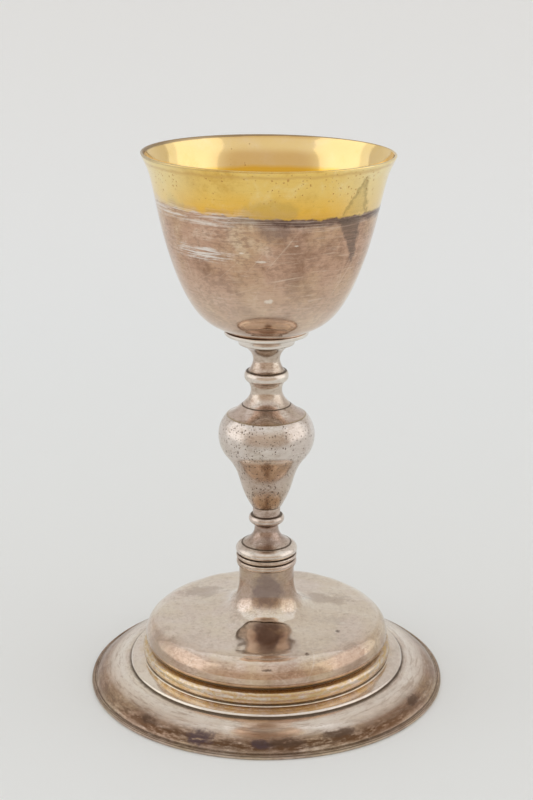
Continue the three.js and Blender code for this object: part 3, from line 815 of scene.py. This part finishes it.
bowlShape = {
    "wall": 1.2, "seatRadius": 17.8, "bellyRadius": 40.9, "bellyHeight": 30.7, "throatRadius": 49.3,
    "throatHeight": 64.7, "rimRadius": 53.6, "height": 76.7, "rimRounding": 0.5,
    "segments": 256, "handDepth": 0.22, "handWidth": 24.0, "handSeed": 3.0, "leanDegrees": 0.7,
}


def bowlSide(wall):
    s = bowlShape
    seat = (s["seatRadius"], wall)
    belly = (s["bellyRadius"] - wall, s["bellyHeight"])
    throat = (s["throatRadius"] - wall, s["throatHeight"])
    rim = (s["rimRadius"] - wall, s["height"] - s["rimRounding"])
    return (sweep(seat, (0.22, 0.13), belly, (0.41, 0.92), 36)
            + sweep(belly, (0.5, 0.36), throat, (0.33, 0.36), 20)[1:]
            + sweep(throat, (0.33, 0.52), rim, (0.56, 0.49), 12)[1:])


def makeBowl():
    s = bowlShape
    outside = [(0, 0)] + [(s["seatRadius"] * k / 6, 0) for k in range(1, 6)] + bowlSide(0)
    half = s["wall"] / 2
    rimCentre = (s["rimRadius"] - half, s["height"] - s["rimRounding"])
    rim = arc(rimCentre, half, s["rimRounding"], 0, 180, 10)[1:-1]
    inside = bowlSide(s["wall"])[::-1] + [(s["seatRadius"] * k / 6, s["wall"]) for k in range(5, -1, -1)]
    outline = outside + rim + inside
    firstInside = len(outside) + len(rim) // 2
    turn("gilt_bowl", "bowl", outline, s, bowlSilver, bowlGilt,
         (firstInside, len(outline)))


makeBowl()


collarShape = {
    "topRadius": 17.8, "ledge": 0.5, "discHeight": 1.6, "discBevel": 0.5, "underCut": 0.2,
    "ogeeTopRadius": 16.4, "ogeeHeight": 4.2, "baseRadius": 12.2, "edgeRounding": 0.25,
    "segments": 144, "handDepth": 0.08, "handSeed": 5.0,
}


def makeCollar():
    s = collarShape
    disc, top = s["topRadius"] + s["ledge"], s["ogeeHeight"] + s["discHeight"]
    ogeeTop = (s["ogeeTopRadius"], s["ogeeHeight"])
    outline = [(0, 0)] + sweep((s["baseRadius"], 0), (0.1, 0.5), ogeeTop, (0.6, 0.3))
    outline += [(disc - s["underCut"], s["ogeeHeight"]), (disc, s["ogeeHeight"] + s["discBevel"])]
    outline += [(disc, top), (0, top)]
    turn("bowl_seat_collar", "bowl_collar", outline, s, plainSilver)


makeCollar()


spoolShape = {
    "height": 12.3, "topRadius": 11.8, "waistRadius": 5.85, "waistHeight": 5.0, "baseRadius": 8.2,
    "edgeRounding": 0.35, "segments": 128, "handDepth": 0.06, "handSeed": 7.0,
}


def makeUpperSpool():
    s = spoolShape
    waist = (s["waistRadius"], s["waistHeight"])
    outline = [(0, 0)] + sweep((s["baseRadius"], 0), (0.36, 0), waist, (0, 0.34))
    outline += sweep(waist, (0, 0.41), (s["topRadius"], s["height"]), (0.6, 0.22))[1:] + [(0, s["height"])]
    turn("upper_neck", "upper_spool", outline, s, plainSilver)


ringShape = {
    "height": 4.6, "bulge": 1.5, "seatRadius": 8.2, "segments": 128, "handDepth": 0.06, "handSeed": 8.0,
}


def makeRing():
    s = ringShape
    outline = [(0, 0)] + bead(s["seatRadius"], s["bulge"], 0, s["height"], 16) + [(0, s["height"])]
    turn("neck_ring", "stem_ring", outline, s, plainSilver)


knopShape = {
    "radius": 21.2, "round": 13.9, "waistHeight": 24.6, "bellyHeight": 33.3, "height": 42.7,
    "baseRadius": 6.6, "edgeRounding": 0.25, "segments": 192, "handDepth": 0.12, "handWidth": 14.0,
    "handSeed": 11.0,
}
capShape = {
    "neckHeight": 10.7, "waistRadius": 6.85, "waistHeight": 6.4, "lineRadius": 10.6, "slopeHeight": 4.8,
    "topRadius": 8.2, "edgeRounding": 0.35, "segments": 144, "handDepth": 0.06, "handSeed": 9.0,
}


def knopRadiusAt(height):
    s = knopShape
    return s["radius"] - s["round"] + math.sqrt(s["round"] ** 2 - (height - s["bellyHeight"]) ** 2)


def makeCap():
    s = capShape
    line = (s["lineRadius"], s["slopeHeight"])
    waist = (s["waistRadius"], s["slopeHeight"] + s["waistHeight"])
    top = (s["topRadius"], s["slopeHeight"] + s["neckHeight"])
    base = (knopRadiusAt(knopShape["height"]), 0)
    outline = [(0, 0)] + sweep(base, (0.39, 0.21), line, (0.31, 0.4), 10)
    outline += sweep(line, (0.48, 0.25), waist, (0, 0.41))[1:]
    outline += sweep(waist, (0, 0.49), top, (0.48, 0.28))[1:] + [(0, top[1])]
    turn("knop_shoulder", "knop_cap", outline, s, plainSilver)


def makeKnop():
    s = knopShape
    waist = (knopRadiusAt(s["waistHeight"]), s["waistHeight"])
    fromAngle, toAngle = (math.degrees(math.asin((height - s["bellyHeight"]) / s["round"]))
                          for height in (s["waistHeight"], s["height"]))
    outline = [(0, 0)] + sweep((s["baseRadius"], 0), (0.62, 0.48), waist, (0.68, 0.37), 40)
    centre = (s["radius"] - s["round"], s["bellyHeight"])
    outline += arc(centre, s["round"], s["round"], fromAngle, toAngle, 40)[1:] + [(0, s["height"])]
    turn("pear_knop", "knop", outline, s, pittedSilver)


makeUpperSpool()
makeRing()
makeCap()
makeKnop()


lowerShape = {
    "bandRadius": 6.1, "bandHeight": 4.0, "ringHeight": 3.8, "ringBulge": 1.65, "ringSeatRadius": 6.3,
    "trumpetHeight": 9.7, "trumpetRadius": 11.1, "waistRadius": 5.35, "waistHeight": 7.3,
    "edgeRounding": 0.35, "segments": 128, "handDepth": 0.06, "handSeed": 13.0,
}


def makeLowerSpool():
    s = lowerShape
    waist = (s["waistRadius"], s["waistHeight"])
    top = s["trumpetHeight"] + s["ringHeight"] + s["bandHeight"]
    outline = [(0, 0)] + sweep((s["trumpetRadius"], 0), (0.05, 0.02), waist, (0, 0.67), 24)
    outline += sweep(waist, (0, 0.83), (s["ringSeatRadius"], s["trumpetHeight"]), (0.1, 0.17), 8)[1:]
    outline += bead(s["ringSeatRadius"], s["ringBulge"], s["trumpetHeight"], s["ringHeight"], 14)
    outline += [(s["bandRadius"], top - s["bandHeight"]), (s["bandRadius"], top), (0, top)]
    turn("lower_neck", "lower_spool", outline, s, plainSilver)


footCollarShape = {
    "torusHeight": 4.4, "torusBulge": 4.3, "torusRadius": 13.8, "torusLowerShare": 0.36,
    "torusStart": -35, "thinRingHeight": 2.1, "thinRingBulge": 0.8, "lipHeight": 2.8, "lipBulge": 0.75,
    "upperGroove": 0.2, "lowerGroove": 0.6, "grooveDepth": 0.5, "seatRadius": 12.8, "topRadius": 11.3,
    "edgeRounding": 0.15, "segments": 144, "handDepth": 0.06, "handSeed": 15.0,
}


def makeStemCollar():
    s = footCollarShape
    floor = s["seatRadius"] - s["grooveDepth"]
    ringBase = s["lipHeight"] + s["lowerGroove"]
    ringTop = ringBase + s["thinRingHeight"]
    torusBase = ringTop + s["upperGroove"]
    top = torusBase + s["torusHeight"]
    centre = (s["torusRadius"] - s["torusBulge"], torusBase + s["torusHeight"] * s["torusLowerShare"])
    rise = s["torusHeight"] * (1 - s["torusLowerShare"])
    endAngle = math.degrees(math.acos((s["topRadius"] - centre[0]) / s["torusBulge"]))
    outline = [(0, 0)] + bead(s["seatRadius"], s["lipBulge"], 0, s["lipHeight"], 12)
    outline += [(floor, s["lipHeight"]), (floor, ringBase)]
    outline += bead(s["seatRadius"], s["thinRingBulge"], ringBase, s["thinRingHeight"], 12)
    outline += [(floor, ringTop), (floor, torusBase)]
    outline += arc(centre, s["torusBulge"], rise, s["torusStart"], endAngle, 18)
    outline += [(s["topRadius"], top), (0, top)]
    turn("foot_collar", "stem_collar", outline, s, plainSilver)


makeLowerSpool()
makeStemCollar()


footShape = {
    "wall": 1.5, "radius": 80.0, "flangeWidth": 2.1, "flangeHeight": 2.1, "flangeRounding": 0.6,
    "slopeHeight": 7.5, "stepRadius": 62.0, "stepHeight": 1.5, "stepRounding": 0.7, "stepRingWidth": 5.4,
    "stepRingRise": 0.5, "mouldingRise": 1.0, "mouldingSeatRadius": 54.8, "mouldingBulge": 1.5,
    "mouldingHeight": 5.2, "grooveRadius": 52.4, "grooveHeight": 1.9, "drumRadius": 54.9,
    "drumLipHeight": 2.1, "shoulderWidth": 9.9, "shoulderHeight": 9.6, "shoulderTurn": 84.0,
    "drumTopRise": 1.4, "neckBaseRadius": 26.0, "neckFlareHeight": 15.2, "neckRadius": 12.3,
    "neckHeight": 6.9, "neckTopThickness": 2.0, "edgeRounding": 0.25,
    "flangeLines": ((0.0, 0.95), (0.35, 0.7), (0.15, 0.45), (0.6, 0.0), (1.3, 0.0), (1.55, 0.2), (1.8, 0.0)),
    "segments": 256, "handDepth": 0.42, "handWidth": 24.0, "handSeed": 21.0,
    "dentDepth": 1.6, "dentWidth": 17.0, "dentLow": 24.0, "dentHigh": 44.0,
}


def makeFoot():
    s = footShape
    stepFoot = s["flangeHeight"] + s["slopeHeight"]
    stepTop = stepFoot + s["stepHeight"]
    mouldingBase = stepTop + s["stepRingRise"] + s["mouldingRise"]
    grooveBase = mouldingBase + s["mouldingHeight"]
    drumBase = grooveBase + s["grooveHeight"]
    shoulderCentre = drumBase + s["drumLipHeight"]
    neckBase = shoulderCentre + s["shoulderHeight"] + s["drumTopRise"]
    top = neckBase + s["neckFlareHeight"] + s["neckHeight"]
    slope = sweep((s["radius"] - s["flangeWidth"], s["flangeHeight"]), (0.14, 0.4),
                  (s["stepRadius"], stepFoot), (0.52, 0.21), 30)
    shoulder = arc((s["drumRadius"] - s["shoulderWidth"], shoulderCentre), s["shoulderWidth"],
                   s["shoulderHeight"], 0, s["shoulderTurn"], 24)
    neckStart = (s["neckBaseRadius"], neckBase)
    flatStart = shoulder[-1]
    flat = [tuple(flatStart[k] + (neckStart[k] - flatStart[k]) * t / 16 for k in (0, 1))
            for t in range(1, 16)]
    flare = sweep(neckStart, (0.62, 0.04), (s["neckRadius"], neckBase + s["neckFlareHeight"]), (0, 0.75), 30)
    drum = shoulder + flat + flare
    ringInner = s["stepRadius"] - s["stepRounding"] - s["stepRingWidth"]
    r = s["flangeRounding"]
    # fine lines run round the flange
    outside = arc((s["radius"] - r, r), r, r, -90, 0, 5)
    outside += [(s["radius"] - inward, s["flangeHeight"] - down) for inward, down in s["flangeLines"]] + slope
    outside += [(s["stepRadius"], stepTop - s["stepRounding"]),
                (s["stepRadius"] - s["stepRounding"], stepTop), (ringInner, stepTop + s["stepRingRise"]),
                (s["mouldingSeatRadius"] + s["stepRounding"], mouldingBase - s["stepRingRise"])]
    outside += bead(s["mouldingSeatRadius"], s["mouldingBulge"], mouldingBase, s["mouldingHeight"], 16)
    # a hollow under the drum, whose lower edge is rounded
    outside += arc((s["grooveRadius"] + 2.2, drumBase - 0.7), 1.6, 0.9, -110, -180, 5)
    outside += arc((s["grooveRadius"] + 0.5, shoulderCentre), 2.0, s["drumLipHeight"] + 0.6, -80, -8, 10)
    outside += drum + [(s["neckRadius"], top), (0, top)]
    wall = s["wall"]
    under = inset(slope, wall)
    inside = [(under[0][0], 0)] + under
    inside += [(s["stepRadius"] - s["stepRounding"] - wall, stepTop - wall),
               (s["grooveRadius"] - wall, stepTop + s["stepRingRise"] - wall),
               (s["grooveRadius"] - wall, drumBase + wall)]
    inside += inset(drum, wall)
    inside += [(s["neckRadius"] - wall, top - s["neckTopThickness"]), (0, top - s["neckTopThickness"])]
    turn("stepped_foot", "foot", inside[::-1] + outside, s, footSilver)


makeFoot()
print("foot ready")


# lengths in metres
stageLook = {
    "floor": (0.85, 0.865, 0.865, 1), "backdrop": (0.91, 0.935, 0.955, 1), "width": 4.0, "front": -0.6,
    "back": 1.2, "rise": 2.5, "bendRadius": 0.6, "underPiece": 0.00005, "grain": (0.75, 0.75, 0.75, 1),
    "grainScale": 400.0, "grainStrength": 0.04, "roughness": 0.7,
    "ceiling": (0.86, 0.87, 0.87, 1), "room": (1.0, 1.01, 1.0, 1), "behindCamera": (0.64, 0.545, 0.46, 1),
}


def makeStage():
    # floor that curves up into a backdrop
    look = stageLook
    bendRadius = look["bendRadius"]
    bend = arc((look["back"] - bendRadius, bendRadius), bendRadius, bendRadius, -90, 0, 16)
    line = [(look["front"], 0.0)] + bend + [(look["back"], look["rise"])]
    sides = (-look["width"] / 2, look["width"] / 2)
    points = [(x, y, z - look["underPiece"]) for x in sides for y, z in line]
    n = len(line)
    faces = [(i, n + i, n + i + 1, i + 1) for i in range(n - 1)]
    mesh = bpy.data.meshes.new("studio sweep")
    mesh.from_pydata(points, [], faces)
    for polygon in mesh.polygons:
        polygon.use_smooth = True
    sweepObject = bpy.data.objects.new("studio_sweep", mesh)
    bpy.context.collection.objects.link(sweepObject)
    surface = startMaterial("pale studio paper")
    tree = surface.tree
    farther = ramp(tree, xyz(tree, surface.place)["Y"], 0.0, 0.9)
    surface.tone = mixColour(tree, farther, look["floor"], look["backdrop"])
    tint(surface, noiseAt(tree, surface.place, look["grainScale"], 3.0), look["grain"], look["grainStrength"])
    tree.links.new(surface.tone, surface.shader.inputs["Base Color"])
    surface.shader.inputs["Roughness"].default_value = look["roughness"]
    mesh.materials.append(surface.material)


# lengths in metres, power in watts; azimuth 0 is behind the camera, growing to the right of the picture
softboxLook = {
    "elevation": 22, "distance": 1.3, "aimHeight": 0.15, "width": 1.2, "height": 1.1,
    "boxes": (("softbox left", -82, 1.25, (1.0, 0.985, 0.97)),
              ("softbox right", 82, 1.15, (1.0, 0.95, 0.90))),
}


def makeSoftbox(name, azimuth, power, lightColour):
    look = softboxLook
    a, e = math.radians(azimuth), math.radians(look["elevation"])
    data = bpy.data.lights.new(name, "AREA")
    data.shape = "RECTANGLE"
    data.size, data.size_y = look["width"], look["height"]
    data.energy = power
    data.color = lightColour
    lamp = bpy.data.objects.new(name, data)
    away, up = look["distance"] * math.cos(e), look["distance"] * math.sin(e)
    lamp.location = (away * math.sin(a), -away * math.cos(a), look["aimHeight"] + up)
    lamp.rotation_euler = (math.pi / 2 - e, 0, a)
    bpy.context.collection.objects.link(lamp)


def makeWorld():
    world = bpy.data.worlds.new("studio room")
    bpy.context.scene.world = world
    world.use_nodes = True
    tree = world.node_tree
    way = xyz(tree, put(tree, "ShaderNodeTexCoord").outputs["Generated"])
    room = mixColour(tree, ramp(tree, way["Z"], 0.1, 0.9), stageLook["room"], stageLook["ceiling"])
    front = times(tree, ramp(tree, way["Y"], -0.3, -0.8), ramp(tree, way["Z"], 0.85, 0.4))
    sky = mixColour(tree, front, room, stageLook["behindCamera"])
    tree.links.new(sky, tree.nodes["Background"].inputs[0])


makeStage()
makeWorld()
for box in softboxLook["boxes"]:
    makeSoftbox(*box)

# place in metres
cameraLook = {"place": (0.0, -0.6714, 0.3391), "pitchDown": 17.179, "lens": 72.28, "sensorWidth": 36.0}
cameraData = bpy.data.cameras.new("photo camera")
cameraData.lens = cameraLook["lens"]
cameraData.sensor_width = cameraLook["sensorWidth"]
camera = bpy.data.objects.new("photo camera", cameraData)
camera.location = cameraLook["place"]
camera.rotation_euler = (math.radians(90 - cameraLook["pitchDown"]), 0, 0)
bpy.context.collection.objects.link(camera)
bpy.context.scene.camera = camera
bpy.context.scene.view_settings.view_transform = "Standard"
print("stage, lights and camera ready")
